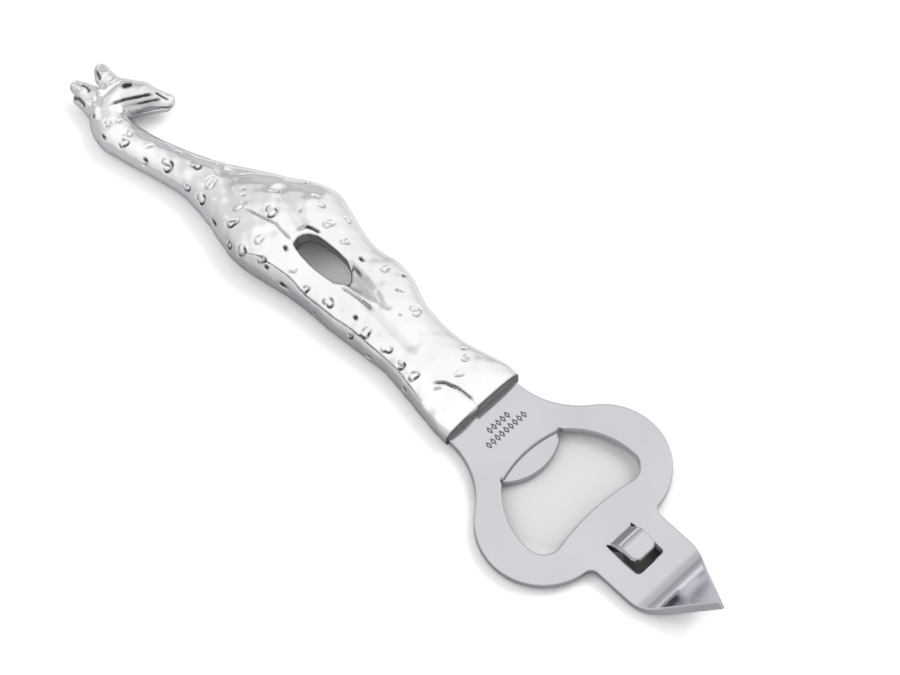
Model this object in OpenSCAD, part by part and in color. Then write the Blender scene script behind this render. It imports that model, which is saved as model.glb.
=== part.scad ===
// Souvenir bottle opener: a cast giraffe handle with a stamped steel blade glued into its base.
// +X runs from the giraffe's ears to the piercing point, +Y across, +Z up from the resting surface.
// The modules are drawn with x = 0 where the blade leaves the handle; place() centres the whole.

/* [Sheet steel] */
// Thickness of the blade's sheet
plate_t = 2; // [1.6:0.1:2.2]
// Height of the blade's underside above the resting surface
plate_z = 1.6; // [1.4:0.1:1.8]
// Length of the blade outside the handle
blade_l = 67; // [64:0.2:68]

/* [Blade outline] */
// Width of the neck beside the handle
neck_w = 19.2; // [18:0.2:20]
// Radius of each round lobe beside the cap mouth
lobe_r = 13.9; // [13.5:0.1:14.5]
// Distance between the two lobe centres
lobe_gap = 18; // [17:0.5:19]
// Distance from the handle to the lobe centres
lobe_x = 26.2; // [26:0.1:26.6]
// Width of the piercer end
head_w = 18.2; // [17:0.2:19]

/* [Cap mouth] */
// Distance from the handle to the corners of the cap lip
lip_x = 14; // [13.5:0.1:14.5]
// Width of the lip from corner to corner
lip_w = 16.3; // [15:0.1:17]
// How far the lip reaches into the mouth
lip_reach = 3.3; // [2.4:0.1:3.6]
// How far the lip is pressed below the sheet
lip_drop = 1; // [0.6:0.1:1.2]
// Widest part of the mouth
mouth_w = 30.4; // [29.6:0.1:31]
// Length of the mouth from the lip corners to its far corners
mouth_l = 18.6; // [18:0.1:19]

/* [Can piercer] */
// Distance from the handle to where the point starts to bend up
bend_x = 51.6; // [51:0.1:53]
// Inside radius of the bend
bend_r = 8; // [7:0.5:9]
// Angle of the bent point above the sheet
bend_a = 42.4; // [38:0.2:45]
// Width of the rim hook
hook_w = 6.4; // [6:0.1:6.8]
// Rise of the hook's top above the sheet's top
hook_rise = 3.6; // [3.2:0.1:4]

/* [Giraffe] */
// Length of the handle outside the blade
handle_l = 117; // [114:0.2:118]
// Width of the base that the blade enters
base_w = 21.2; // [20:0.2:22]
// Thickness of the base
base_h = 6.9; // [6.6:0.1:7.4]

/* [Tang] */
// Length of the tang inside the handle
tang_l = 32; // [26:1:34]
// Width of the tang at its root
tang_w = 10; // [9:0.5:10]
// Glue gap all round the tang
glue = 0.35; // [0.25:0.05:0.4]

/* [Hidden] */
fine = 64;
coarse = 20;
e = 0.01;
x_mid = (handle_l - blade_l) / 2;

// ---------- helpers ----------

module place() {
  translate([x_mid, 0, 0]) children();
}

module both_sides() {
  children();
  mirror([0, 1, 0]) children();
}

// Corner triangle with a concave arc of centre c and radius r between its ends a and b.
module hollow_fillet(a, b, corner, c, r) {
  difference() {
    polygon([a, b, corner]);
    translate(c) circle(r, $fn = fine);
  }
}

// ---------- opener blade ----------

head_y = head_w / 2;
lobe_y = lobe_gap / 2;
neck_y = neck_w / 2;

// Concave sweep from the neck into a lobe: tangent to the neck's side at the handle.
sweep_r = (pow(lobe_x, 2) + pow(neck_y - lobe_y, 2) - pow(lobe_r, 2)) / (2 * (lobe_r - neck_y + lobe_y));
sweep_c = [0, neck_y + sweep_r];

// Small concave corner between a lobe and the piercer end.
notch_r = 1.7;
notch_c = [lobe_x + sqrt(pow(lobe_r + notch_r, 2) - pow(head_y + notch_r - lobe_y, 2)), head_y + notch_r];

// Point on the lobe circle that faces the centre c.
function lobe_touch(c) =
  let (o = [lobe_x, lobe_y]) o + (c - o) * lobe_r / norm(c - o);

// The piercer's slanted side, rounded where it leaves the straight side.
tip_y = 0.3;
tip_slope = 33.4;
shoulder_r = 10;
shoulder_corner = [blade_l - (head_y - tip_y) / tan(tip_slope), head_y];
shoulder_cut = shoulder_r * tan(tip_slope / 2);
shoulder_a = shoulder_corner - [shoulder_cut, 0];
shoulder_b = shoulder_corner + shoulder_cut * [cos(tip_slope), -sin(tip_slope)];

module half_outline() {
  translate([lobe_x, lobe_y]) circle(lobe_r, $fn = fine);
  polygon([[0, -e], [0, neck_y], [lobe_x, neck_y], [lobe_x, -e]]);
  hollow_fillet(
    [0, neck_y], lobe_touch(sweep_c), [lobe_x - lobe_r / 2, neck_y - 1], sweep_c, sweep_r
  );
  hollow_fillet(
    lobe_touch(notch_c), [notch_c[0], head_y], [lobe_x + lobe_r / 2, head_y - 1], notch_c, notch_r
  );
  polygon([
    [lobe_x - 1, -e], [lobe_x - 1, head_y], shoulder_a, shoulder_b, [blade_l, tip_y], [blade_l, -e]
  ]);
  intersection() {
    translate(shoulder_a - [0, shoulder_r]) circle(shoulder_r, $fn = fine);
    polygon([shoulder_a, shoulder_corner, shoulder_b, shoulder_b - [4, 4]]);
  }
}

// Mouth: two long side arcs, round far corners and a far edge that bulges gently towards the cap.
corner_r = 4.3;
corner_c = [lip_x + mouth_l - corner_r, mouth_w / 2 - corner_r];
side_run = corner_c[0] - lip_x;
side_rise = (mouth_w - lip_w) / 2;
side_r = (pow(side_run, 2) + pow(side_rise, 2)) / (2 * side_rise);
far_bulge = 1.2;
far_r = (pow(corner_c[1], 2) + pow(far_bulge, 2)) / (2 * far_bulge);

module mouth() {
  difference() {
    union() {
      intersection() {
        translate([corner_c[0], mouth_w / 2 - side_r]) circle(side_r, $fn = fine);
        translate([corner_c[0], side_r - mouth_w / 2]) circle(side_r, $fn = fine);
        translate([lip_x, -mouth_w / 2]) square([side_run, mouth_w]);
      }
      translate([corner_c[0] - e, -corner_c[1]]) square([corner_r + e, 2 * corner_c[1]]);
      both_sides() {
        translate(corner_c) circle(corner_r, $fn = fine);
        translate([lip_x + 0.2, lip_w / 2]) circle(0.6, $fn = 24);
      }
    }
    translate([lip_x + mouth_l - far_bulge + far_r, 0]) circle(far_r, $fn = fine);
  }
}

// Lens between two arcs that meet at the lip's corners.
lip_back = 1.3;

module lens() {
  back_r = (pow(lip_w / 2, 2) + pow(lip_back, 2)) / (2 * lip_back);
  front_r = (pow(lip_w / 2, 2) + pow(lip_reach, 2)) / (2 * lip_reach);
  intersection() {
    translate([lip_x - lip_back + back_r, 0]) circle(back_r, $fn = fine);
    translate([lip_x + lip_reach - front_r, 0]) circle(front_r, $fn = fine);
  }
}

// Window that the rim hook is lanced from.
window_x = 39;
window_l = 8.8;
window_w = 7.2;

module window() {
  window_r = 0.8;
  both_sides() {
    translate([window_x + window_l - window_r, window_w / 2 - window_r]) circle(window_r, $fn = 24);
  }
  translate([window_x, -window_w / 2]) square([window_l - window_r, window_w]);
  translate([window_x, window_r - window_w / 2]) square([window_l, window_w - 2 * window_r]);
}

// The sheet seen from the side: flat, then bent up to the point.
module side_profile() {
  reach = 30;
  square([bend_x, plate_t]);
  translate([bend_x, plate_t + bend_r]) {
    intersection() {
      difference() {
        circle(bend_r + plate_t, $fn = fine);
        circle(bend_r, $fn = fine);
      }
      polygon([[0, 0], [0, -reach], [reach * tan(bend_a), -reach]]);
    }
    rotate(bend_a) translate([0, -bend_r - plate_t]) square([reach, plate_t]);
  }
}

// The hook seen from the side: it climbs out of the window and levels off towards the point.
hook_x = 38.9;
hook_ramp = 3.4;
hook_flat = 4.4;

module hook_profile() {
  end = hook_x + hook_ramp + hook_flat;
  rise = hook_rise;
  polygon([
    [hook_x - 1.2, 0], [hook_x - 1.2, plate_t], [hook_x, plate_t], [hook_x + hook_ramp, plate_t + rise],
    [end, plate_t + rise], [end, rise], [hook_x + hook_ramp + 0.7, rise], [hook_x + 1.6, 0]
  ]);
}

// Tang: a tapered tongue with two glue keys.
module tang_outline(grow) {
  root = tang_w / 2 + grow;
  tail = tang_w / 2 - 1.5 + grow;
  polygon([[-tang_l - grow, -tail], [-tang_l - grow, tail], [0, root], [0, -root]]);
}

module tang() {
  difference() {
    linear_extrude(plate_t) {
      tang_outline(0);
      translate([0, -tang_w / 2]) square([1, tang_w]);
    }
    for (x = [-10, -24]) {
      translate([x, 0, -1]) cylinder(r = 1.8, h = plate_t + 2, $fn = fine);
    }
  }
}

module opener_blade() {
  color([0.78, 0.78, 0.80]) place() translate([0, 0, plate_z]) {
    difference() {
      union() {
        intersection() {
          rotate([90, 0, 0]) linear_extrude(60, center = true) side_profile();
          translate([0, 0, -1]) linear_extrude(30) both_sides() half_outline();
        }
        translate([0, 0, -lip_drop]) linear_extrude(plate_t) lens();
      }
      translate([0, 0, -1]) linear_extrude(plate_t + 2) {
        difference() {
          mouth();
          lens();
        }
        window();
      }
      translate([0, 0, plate_t - lip_drop]) linear_extrude(4) lens();
    }
    rotate([90, 0, 0]) linear_extrude(hook_w, center = true) hook_profile();
    tang();
  }
}

// ---------- giraffe handle ----------

// Sections of the body from the base to the neck's turn:
// [x, centre y, half width, underside z, top z].
SECTIONS = [
  [0, 0.3, base_w / 2, -0.5, base_h],
  [-3, 0.3, 10.5, -0.5, 7.1],
  [-6, 0.1, 10, -0.5, 7.3],
  [-11, -0.3, 8.9, -0.5, 7.6],
  [-16, -0.4, 8.2, -0.5, 7.9],
  [-21, 0, 8.1, -0.5, 8.1],
  [-26, 0.2, 8.7, -0.5, 8.4],
  [-31, 0.9, 9.9, -0.5, 8.7],
  [-36, 0.9, 10.4, -0.5, 8.9],
  [-41, 0.4, 10, -0.5, 9.2],
  [-46, 0.5, 10.6, -0.5, 9.7],
  [-51, 0.7, 11.8, -0.5, 10.3],
  [-56, 0.7, 12.9, -0.5, 10.8],
  [-61, -0.2, 12.4, -0.5, 10.8],
  [-66, -1.2, 10.4, -0.5, 10.4],
  [-71, -2, 8.4, 0, 9.8],
  [-76, -3, 6.6, 0, 9.2],
  [-81, -4.2, 5.2, 0, 8.8],
  [-86, -5.7, 4.5, 0, 8.5],
  [-91, -7.2, 4.2, 0, 8.4],
  [-96, -8.5, 4.1, 0, 8.3],
  [-101, -9.2, 4.2, 0, 8.3],
  [-102.6, -9.2, 2.6, 1.8, 6.8]
];
ROUND = 32;

// Catmull-Rom step between four rows of the table.
function blend4(a, b, c, d, t) =
  0.5 * (2 * b + (c - a) * t + (2 * a - 5 * b + 4 * c - d) * t * t + (3 * b - a - 3 * c + d) * t * t * t);

function row(i) = SECTIONS[max(0, min(len(SECTIONS) - 1, i))];

steps = 2;
STATIONS = [
  for (i = [0:len(SECTIONS) - 2], k = [0:steps - 1])
    blend4(row(i - 1), row(i), row(i + 1), row(i + 2), k / steps),
  row(len(SECTIONS) - 1)
];

// Boxy near the base, round along the neck. ring() keeps the underside flat at z = 0.
function squareness(x) = max(2, 3.2 + 0.012 * x);

function power(v, p) = sign(v) * pow(abs(v), p);

function ring(s) =
  let (n = 2 / squareness(s[0]), mid = (s[3] + s[4]) / 2, half = (s[4] - s[3]) / 2)
  [
    for (k = [0:ROUND - 1])
      let (a = 360 * k / ROUND)
      [s[0], s[1] + s[2] * power(cos(a), n), max(0, mid + half * power(sin(a), n))]
  ];

module loft(stations) {
  last = len(stations) - 1;
  points = [for (s = stations) each ring(s)];
  faces = [
    [for (k = [ROUND - 1:-1:0]) k],
    for (i = [0:last - 1], k = [0:ROUND - 1])
      let (a = i * ROUND + k, b = i * ROUND + (k + 1) % ROUND)
      each [[a, b, a + ROUND], [b, b + ROUND, a + ROUND]],
    [for (k = [0:ROUND - 1]) last * ROUND + k]
  ];
  polyhedron(points, faces, convexity = 6);
}

module ball(p, r) {
  translate(p) sphere(r, $fn = coarse);
}

// Head turned back towards the tail: nape, skull, jaw and a blunt muzzle.
module head() {
  nape = [[-101, -9.2], [-104.2, -8.2], [-106.1, -6], [-106.6, -3.2]];
  for (i = [0:len(nape) - 2]) {
    hull() {
      ball([nape[i][0], nape[i][1], 4.3], 4);
      ball([nape[i + 1][0], nape[i + 1][1], 4.3], 4);
    }
  }
  hull() {
    ball([-106.2, -1.9, 4.7], 3.8);
    ball([-103.8, 0.3, 4.8], 3.6);
    ball([-99, 3.4, 4.7], 2.1);
    ball([-103, -1.8, 3.6], 2.5);
    ball([-98.5, 2.2, 3.7], 1.6);
  }
}

// A rounded ear on the far side of the skull and a broad double one on the near side.
module far_ear() {
  hull() {
    ball([-108, -1.7, 5], 2.3);
    ball([-112.8, -1.9, 5.2], 2.1);
    ball([-114.3, -1.3, 5.2], 1.8);
  }
}

module near_ear() {
  hull() {
    ball([-108.8, -6.8, 4.6], 2.8);
    ball([-113.2, -7.3, 4.9], 2);
    ball([1.6 - handle_l, -7.6, 4.9], 1.6);
    ball([-112.9, -8.7, 4.2], 1.7);
  }
}

// Gap under the belly, between the front and the hind legs.
belly_x = [-53.2, -39.2];
belly_y = [-3.1, 3];

module belly_gap() {
  r = 2.4;
  hull() {
    for (p = [[belly_x[0] + r, belly_y[0] + r], [belly_x[0] + 3.4, belly_y[1] - r],
      [belly_x[1] - r, belly_y[0] + r], [belly_x[1] - r, belly_y[1] - r]]) {
      translate([p[0], p[1], -2]) cylinder(r = r, h = 16, $fn = coarse);
    }
  }
}

module socket(grow) {
  translate([0, 0, plate_z - grow]) linear_extrude(plate_t + 2 * grow) {
    tang_outline(grow);
    translate([0, -tang_w / 2 - grow]) square([1, tang_w + 2 * grow]);
  }
}

module giraffe_handle() {
  color([0.86, 0.86, 0.84]) place() difference() {
    union() {
      loft(STATIONS);
      head();
      far_ear();
      near_ear();
    }
    belly_gap();
    socket(glue);
  }
}

// ---------- glue ----------

module glue_bed() {
  color([0.55, 0.52, 0.45]) place() difference() {
    intersection() {
      socket(glue);
      translate([-60, -20, 0]) cube([60, 40, 10]);
    }
    translate([0, 0, plate_z]) tang();
  }
}

giraffe_handle();
opener_blade();
glue_bed();
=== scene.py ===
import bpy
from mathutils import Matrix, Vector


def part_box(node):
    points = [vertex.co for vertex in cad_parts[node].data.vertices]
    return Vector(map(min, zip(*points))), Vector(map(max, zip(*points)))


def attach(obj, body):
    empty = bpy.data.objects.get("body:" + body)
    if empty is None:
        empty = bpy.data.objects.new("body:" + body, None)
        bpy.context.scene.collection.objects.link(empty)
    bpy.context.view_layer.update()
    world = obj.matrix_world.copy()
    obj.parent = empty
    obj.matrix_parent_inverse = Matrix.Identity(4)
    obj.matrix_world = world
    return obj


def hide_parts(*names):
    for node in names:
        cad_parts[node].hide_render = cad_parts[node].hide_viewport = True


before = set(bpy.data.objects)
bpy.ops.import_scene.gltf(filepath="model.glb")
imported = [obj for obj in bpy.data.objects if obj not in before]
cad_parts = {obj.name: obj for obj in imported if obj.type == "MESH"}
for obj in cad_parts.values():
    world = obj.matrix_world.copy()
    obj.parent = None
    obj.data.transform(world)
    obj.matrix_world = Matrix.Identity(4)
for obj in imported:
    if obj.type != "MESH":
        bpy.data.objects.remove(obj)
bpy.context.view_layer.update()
import math

import bmesh
import bpy
import numpy as np
from mathutils import Matrix, Vector

MM = 0.001
scene = bpy.context.scene

# Everything below is in millimetres. x = 0 is where the blade leaves the handle, as in the CAD source.
HANDLE_BOX = [np.array(v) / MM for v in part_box("giraffe_handle")]
BLADE_BOX = [np.array(v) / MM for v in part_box("opener_blade")]
END_X = HANDLE_BOX[1][0]
FAR_X = HANDLE_BOX[0][0] - END_X
TIP_X = BLADE_BOX[1][0] - END_X


# ---------------------------------------------------------------- camera

ELEVATION = math.radians(62.53)
HEADING = math.radians(-45.28)
CAMERA_AT = np.array([220.6, -227.7, 645.6])


def make_camera():
    cam = bpy.data.objects.new("camera", bpy.data.cameras.new("camera"))
    scene.collection.objects.link(cam)
    cam.data.sensor_width = 36
    cam.data.lens = 140
    cam.data.clip_start, cam.data.clip_end = 0.05, 20
    ahead = Vector((math.sin(HEADING) * math.cos(ELEVATION),
                    math.cos(HEADING) * math.cos(ELEVATION), -math.sin(ELEVATION)))
    right = Vector((math.cos(HEADING), -math.sin(HEADING), 0))
    place = Matrix((right, right.cross(ahead), -ahead)).transposed().to_4x4()
    place.translation = Vector(CAMERA_AT + [END_X, 0, 0]) * MM
    cam.matrix_world = place
    scene.camera = cam


# ---------------------------------------------------------------- small tools

def smooth_table(x, xs, ys):
    """Cubic curve through (xs, ys), with xs rising; flat beyond the ends."""
    xs, ys = np.asarray(xs, float), np.asarray(ys, float)
    slope = np.gradient(ys, xs)
    i = np.clip(np.searchsorted(xs, x) - 1, 0, len(xs) - 2)
    h = xs[i + 1] - xs[i]
    t = np.clip((x - xs[i]) / h, 0, 1)
    return ((1 + 2 * t) * (1 - t) ** 2 * ys[i] + t * (1 - t) ** 2 * h * slope[i]
            + t * t * (3 - 2 * t) * ys[i + 1] + t * t * (t - 1) * h * slope[i + 1])


def blend_min(a, b, k):
    """Union of two distance fields with a fillet about k wide."""
    h = np.clip(0.5 + 0.5 * (b - a) / k, 0, 1)
    return b + (a - b) * h - k * h * (1 - h)


def blend_max(a, b, k):
    return -blend_min(-a, -b, k)


def step(x, a, b):
    t = np.clip((x - a) / (b - a), 0, 1)
    return t * t * (3 - 2 * t)


def tube(p, ends, radii):
    """Tapered capsule between two points."""
    a, b = np.array(ends[0], float), np.array(ends[1], float)
    d = b - a
    t = np.clip((p - a) @ d / (d @ d), 0, 1)
    q = p - a - t[:, None] * d
    r = radii[0] + (radii[1] - radii[0]) * t
    return np.sqrt(q[:, 0] ** 2 + q[:, 1] ** 2 + q[:, 2] ** 2) - r


def path_distance(p, path):
    """Distance from each point to a polyline, and how far along it the nearest point is, from 0 to 1."""
    path = np.asarray(path, float)
    best = np.full(len(p), 1e9)
    along = np.zeros(len(p))
    for i in range(len(path) - 1):
        a, d = path[i], path[i + 1] - path[i]
        t = np.clip((p - a) @ d / max(d @ d, 1e-9), 0, 1)
        r = np.linalg.norm(p - a - t[:, None] * d, axis=1)
        near = r < best
        best[near] = r[near]
        along[near] = (i + t[near]) / (len(path) - 1)
    return best, along


def polygon_distance(x, y, corners):
    """Signed distance in plan to a closed polygon: negative inside."""
    corners = np.asarray(corners, float)
    best = np.full(x.shape, 1e9)
    inside = np.zeros(x.shape, bool)
    for (ax, ay), (bx, by) in zip(corners, np.roll(corners, -1, axis=0)):
        dx, dy = bx - ax, by - ay
        t = np.clip(((x - ax) * dx + (y - ay) * dy) / (dx * dx + dy * dy), 0, 1)
        best = np.minimum(best, np.hypot(x - ax - t * dx, y - ay - t * dy))
        crosses = (ay > y) != (by > y)
        level = np.where(abs(dy) < 1e-9, 1e-9, dy)
        inside ^= crosses & (x < (y - ay) * dx / level + ax)
    return np.where(inside, -best, best)


# ---------------------------------------------------------------- the giraffe

# x, low side y, high side y, top z, squareness of the section
BODY = [
    (0, -10.3, 10.9, 6.9, 3.2),
    (-3, -10.2, 10.8, 7.1, 3.2),
    (-6, -9.9, 10.1, 7.3, 3.1),
    (-11, -9.2, 8.6, 7.6, 2.9),
    (-16, -8.5, 7.8, 7.9, 2.8),
    (-21, -8.1, 8.0, 8.1, 2.7),
    (-26, -8.5, 8.9, 8.4, 2.7),
    (-31, -9.0, 10.8, 8.7, 2.7),
    (-36, -9.5, 11.3, 8.9, 2.7),
    (-41, -9.6, 10.4, 9.2, 2.7),
    (-46, -10.1, 11.0, 9.7, 2.6),
    (-51, -11.1, 12.5, 10.3, 2.5),
    (-56, -12.2, 13.6, 10.8, 2.5),
    (-61, -12.6, 12.2, 10.8, 2.4),
    (-66, -11.7, 9.2, 10.4, 2.3),
    (-71, -10.4, 6.5, 9.8, 2.2),
    (-76, -9.6, 3.6, 9.2, 2.1),
    (-81, -9.4, 0.9, 8.8, 2.05),
    (-86, -10.2, -1.2, 8.5, 2.0),
    (-91, -11.4, -3.0, 8.4, 2.0),
    (-96, -12.6, -4.4, 8.3, 2.0),
    (-101, -13.4, -5.1, 8.3, 2.0),
]
BODY = np.array(BODY[::-1], float)
NECK_R = 4.3
NECK_Z = 4.3
BEND_R = 5.6


def giraffe_base(p):
    """Distance field of the giraffe without its relief."""
    x, y, z = p.T
    low, high, top, n = (smooth_table(x, BODY[:, 0], BODY[:, i]) for i in (1, 2, 3, 4))
    half, tall = (high - low) / 2, top / 2
    u = np.maximum(np.abs(y - (high + low) / 2) / half, 1e-6)
    v = np.maximum(np.abs(z - tall) / tall, 1e-6)
    g = (u ** n + v ** n) ** (1 / n)
    slope = g ** (1 - n) * np.hypot(u ** (n - 1) / half, v ** (n - 1) / tall)
    f = np.clip((g - 1) / np.maximum(slope, 0.08), -5, 20)
    f = blend_max(f, x, 0.5)
    f = np.maximum(f, BODY[0, 0] - 0.5 - x)
    # the neck turns round into the nape
    cx, cy = BODY[0, 0], (BODY[0, 1] + BODY[0, 2]) / 2 + BEND_R
    dx, dy = x - cx, y - cy
    turn = np.clip(np.arctan2(-dx, -dy), 0, math.radians(100))
    ring = np.stack([cx - BEND_R * np.sin(turn), cy - BEND_R * np.cos(turn)])
    nape = np.sqrt((x - ring[0]) ** 2 + (y - ring[1]) ** 2 + (z - NECK_Z) ** 2) - NECK_R
    f = blend_min(f, nape, 0.6)
    # skull, muzzle and lower jaw
    head = tube(p, [(-106.2, -1.9, 4.7), (-103.8, 0.1, 4.8)], [3.7, 3.5])
    head = blend_min(head, tube(p, [(-103.8, 0.4, 4.9), (-99.1, 3.8, 4.8)], [3.3, 1.75]), 1.0)
    jaw = tube(p, [(-103.6, -1.9, 3.9), (-98.9, 3.1, 3.9)], [2.1, 1.3])
    head = blend_min(head, jaw, 0.5)
    f = blend_min(f, head, 1.4)
    # a rounded ear on the far side, and a broad double one on the near side
    far_ear = tube(p, [(-108.4, -1.7, 5.0), (-112.8, -1.9, 5.2)], [2.2, 2.05])
    far_ear = blend_min(far_ear, tube(p, [(-112.8, -1.9, 5.2), (-114.3, -1.3, 5.2)], [2.05, 1.75]), 0.3)
    near_ear = tube(p, [(-109.5, -6.2, 4.8), (-113.2, -7.3, 4.9)], [2.6, 2.0])
    ear_tip = tube(p, [(-113.2, -7.3, 4.9), (FAR_X + 1.7, -7.6, 4.9)], [2.0, 1.55])
    near_ear = blend_min(near_ear, ear_tip, 0.3)
    near_ear = blend_min(near_ear, tube(p, [(-108.4, -8.0, 4.2), (-112.9, -8.7, 4.2)], [2.5, 1.65]), 0.25)
    f = blend_min(f, far_ear, 0.7)
    return blend_min(f, near_ear, 0.9)


# The gap under the belly, in plan.
GAP = [(-52.4, -2.6), (-52.7, -1.2), (-52.5, -0.2), (-51.8, 0.9), (-50.5, 1.7), (-48.5, 2.1), (-45.4, 2.4),
       (-42.3, 2.3), (-40.8, 1.8), (-40, 1.2), (-39.3, 0.3), (-39.2, -0.8), (-39.7, -1.7), (-41, -2.5),
       (-43.5, -3), (-46.4, -3.3), (-49.6, -3.2), (-51.4, -2.9)]
# The hollow that runs out of the gap between the legs, in plan.
HOLLOW = [(-41.5, 3.2), (-37, 3.0), (-31, 1.8), (-27, 1.1), (-30, 0.1), (-36, -0.9), (-41.5, -1.6)]
# The hoof's lower ground beside the base, in plan.
GROUND = [(-10.3, -4.2), (-8.5, -2.5), (-7, -1.5), (-5, -1.05), (-1.8, -1), (3, -1), (3, -13), (-10, -13)]

# Folds and marks are placed where the camera sees them on a level plane this high.
# The places in CREASE and MARKS, and most of those in FOLDS, are the output of another program, which
# converted positions in the photograph to millimetres. report.md says how many, and that this isn't allowed.
RELIEF_Z = 8.0

# Folds: depth, width, how much duller and darker the metal is in them, the dark being painted shade, and
# points in plan. Depth 0 is a patch of painted shade without a groove.
FOLDS = [
    (0.60, 1.50, 0.14, [(-66.5, 5.8), (-62.6, 4.3), (-57.9, 2.8), (-54.3, 1.7)]),
    (0.50, 1.60, 0.14, [(-79, 0.6), (-74.4, -1.8), (-70.5, -3.6), (-67.3, -4.2)]),
    (0.28, 0.34, 0.50, [(-67.6, -3.5), (-63.4, -2.4), (-59.9, -1.4), (-57.3, -1.6), (-54.2, -1.9)]),
    (0.30, 0.34, 0.50, [(-39.4, -2.2), (-36.4, -1.6), (-33.1, -1.2), (-31, -1.1)]),
    (0.42, 1.10, 0.16, [(-35, -1.3), (-29.4, -1.2), (-22.7, -1.8), (-16.8, -1.8)]),
    (0.20, 0.50, 0.15, [(-33.9, 2.5), (-30.9, 1.4), (-28.2, 1.3)]),
    (0.40, 0.38, 0.95, [(-55.1, 2.6), (-53.4, 3.3), (-51.6, 3.7)]),
    (0.40, 0.36, 0.85, [(-10.3, -4.3), (-8.5, -2.5), (-5.6, -1.5), (-3.4, -1.3), (-1.5, -1.2)]),
    (0.35, 0.30, 0.80, [(-105.6, -6.4), (-104.3, -3.7), (-102.8, -1.1), (-100.9, 1.9)]),
    (0.25, 0.26, 0.60, [(-102.9, -4.9), (-100.9, -1.4), (-98.7, 2.4)]),
    (0.30, 0.30, 0.70, [(-102.4, -6.5), (-99.0, -2.8), (-96.9, 0.7), (-95.8, 2.6)]),
    (0.30, 0.26, 0.90, [(-101.1, 2.4), (-99.5, 2.7), (-97.5, 3.1)]),
    (0.35, 0.40, 0.90, [(-114, -3), (-112.6, -3.5), (-111.6, -4)]),
    (0.30, 0.32, 0.80, [(-113.8, -7.8), (-112.4, -7.1), (-111.3, -7.2), (-111.1, -7.9)]),
    (0.35, 0.45, 0.85, [(-112.4, -11.2), (-111.3, -10.4), (-109.9, -10.5), (-108.7, -11)]),
    (0.15, 0.40, 0.35, [(-114.8, -9.5), (-112.8, -11)]),
    # painted shade without a groove: on the lower face, and broadly over the skull
    (0, 1.6, 0.30, [(-104, -5.5), (-100.9, -1.4), (-98.5, 2.2)]),
    (0, 3.0, 0.12, [(-107.5, -2.5), (-104, 0), (-101, 2.2)]),
]
# The crease along the near side: the flank under it stands a little further back.
CREASE = [
    (-58.4, -10.3), (-56.6, -9.5), (-53.3, -9.1), (-50.6, -8.7), (-48.6, -8.5), (-46.6, -8.6),
    (-43.8, -9.1), (-39.6, -8.8), (-36.9, -8.6), (-34.8, -8.5), (-30.6, -7.8), (-23.2, -7.6),
    (-17.4, -7.6), (-12.4, -8.4), (-9.1, -8.9),
]

# Marks of the coat: x, y, radius, and r for a broken ring, c for a crescent or d for a dash.
# Those with a capital are deeper.
MARKS = [
    (-106, -11, 0.5, "D"), (-102.5, -10, 0.7, "r"), (-101.5, -7.5, 0.9, "c"), (-98, -8.5, 1.2, "c"),
    (-100.5, -13, 0.6, "D"), (-96.5, -11, 1.1, "R"), (-92, -7.5, 1, "d"), (-90, -10.5, 0.6, "D"),
    (-89.5, -11.5, 0.9, "d"), (-86, -8, 1.45, "R"), (-86.5, -4, 1.1, "d"), (-82, -3.5, 1.3, "C"),
    (-79, 0, 1, "d"), (-79, -9, 0.85, "R"), (-75, -8.5, 1.1, "R"), (-76.5, -4.5, 1.5, "r"),
    (-72.5, 2.5, 1.6, "d"), (-69, -10.5, 1, "D"), (-66.5, -7.5, 1.5, "C"), (-70.5, -0.5, 0.5, "d"),
    (-69.5, -1.5, 0.6, "d"), (-66, 4, 0.9, "c"), (-62.5, 0, 1.35, "R"), (-59.5, -6.5, 1.1, "r"),
    (-63, -12, 0.9, "R"), (-60, -11, 1.2, "R"), (-55.5, -9.5, 0.9, "R"), (-53.5, -10, 0.55, "D"),
    (-54, -4, 0.6, "D"), (-49.5, -6.5, 0.9, "c"), (-47.5, -10.5, 1.3, "D"), (-44, -8, 0.85, "R"),
    (-38.5, -6.5, 1.1, "R"), (-38.5, -10.5, 0.4, "D"), (-32, -5, 0.5, "D"), (-62, 10, 1, "d"),
    (-58.5, 9, 0.8, "d"), (-56.5, 8.5, 0.9, "c"), (-58.5, 4.5, 0.4, "d"), (-52, 6.5, 1.2, "r"),
    (-49.5, 10, 0.7, "r"), (-54, 12.5, 0.4, "d"), (-46.5, 6, 0.9, "r"), (-41, 5.5, 0.6, "D"),
    (-36, 7.5, 1, "r"), (-32, 9, 0.4, "D"), (-30, 6, 1.1, "d"),
    (-26, 2, 0.4, "d"), (-24.5, 5, 1.3, "r"), (-28, -6, 1.2, "R"), (-22.5, -5.5, 1.2, "C"),
    (-17.5, -6, 0.9, "R"), (-14, -6, 1.1, "R"), (-11, 6, 1, "d"), (-9.5, 4.5, 0.8, "r"),
    (-8, 1, 0.9, "c"), (-32.5, -11, 1, "D"), (-29.5, -9, 0.7, "R"), (-23.5, -9.5, 0.7, "D"),
    (-18, -9.5, 0.6, "D"), (-13, -9.5, 0.5, "D"), (-8.5, -4.5, 0.9, "d"),
]
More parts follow.
